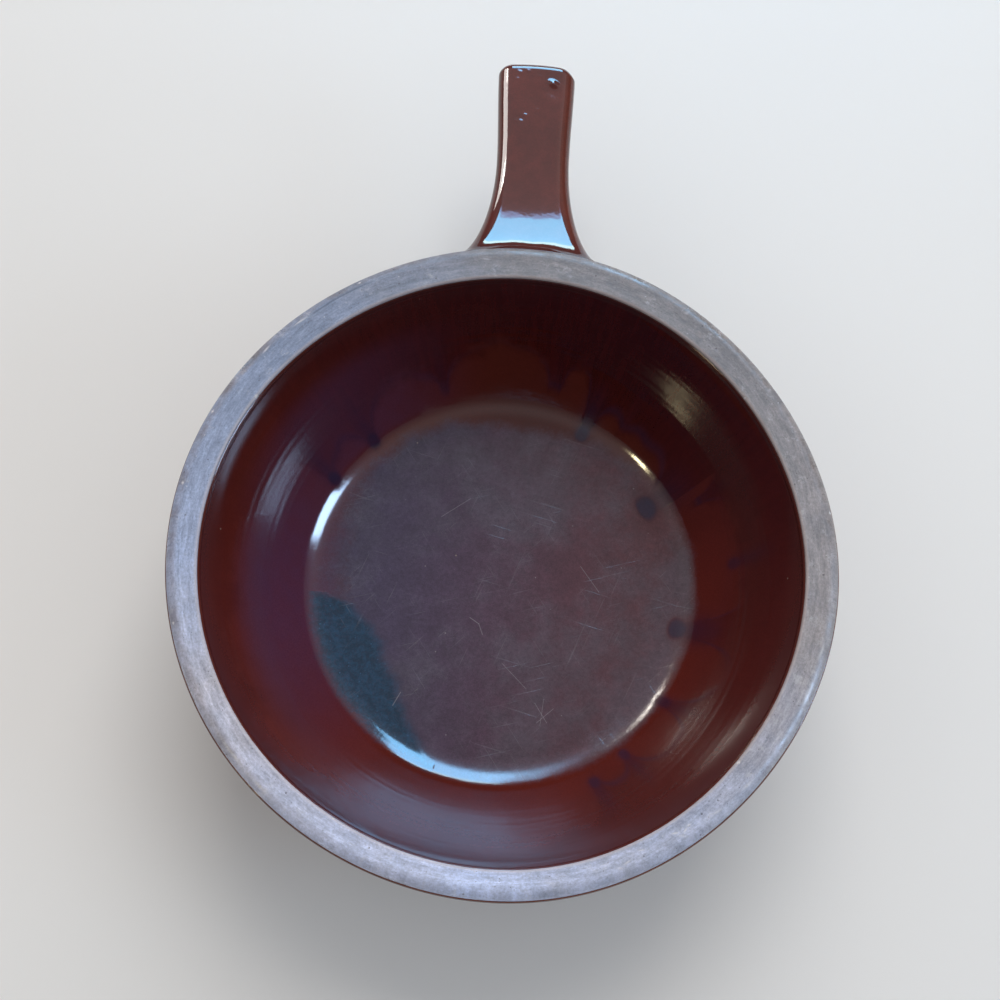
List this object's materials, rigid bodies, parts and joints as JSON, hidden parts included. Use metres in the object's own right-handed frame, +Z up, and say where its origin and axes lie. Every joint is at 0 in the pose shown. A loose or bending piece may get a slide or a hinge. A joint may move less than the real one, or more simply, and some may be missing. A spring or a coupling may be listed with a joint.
{
  "type": "lug soup bowl",
  "caption": "Round heavy stoneware soup bowl on a foot ring, glazed brown inside and out, with a bare flat rim and a short straight lug handle.",
  "frame": {"origin": "centre of the foot ring, on the surface that the bowl stands on", "axes": "+Z up along the bowl's axis, +Y from the axis towards the end of the handle, +X to the right"},
  "size_m": [0.171, 0.2339, 0.054],
  "materials": {
    "bare_clay": "matt fired stoneware, speckled",
    "joining_slip": "matt fired slip",
    "brown_glaze": "glossy, breaking from red brown to blue black"
  },
  "bodies": {
    "root": {"bowl_body": "bare_clay", "lug_handle": "bare_clay", "handle_slip": "joining_slip", "inside_glaze": "brown_glaze", "outside_glaze": "brown_glaze", "handle_glaze": "brown_glaze"}
  },
  "joints": []
}
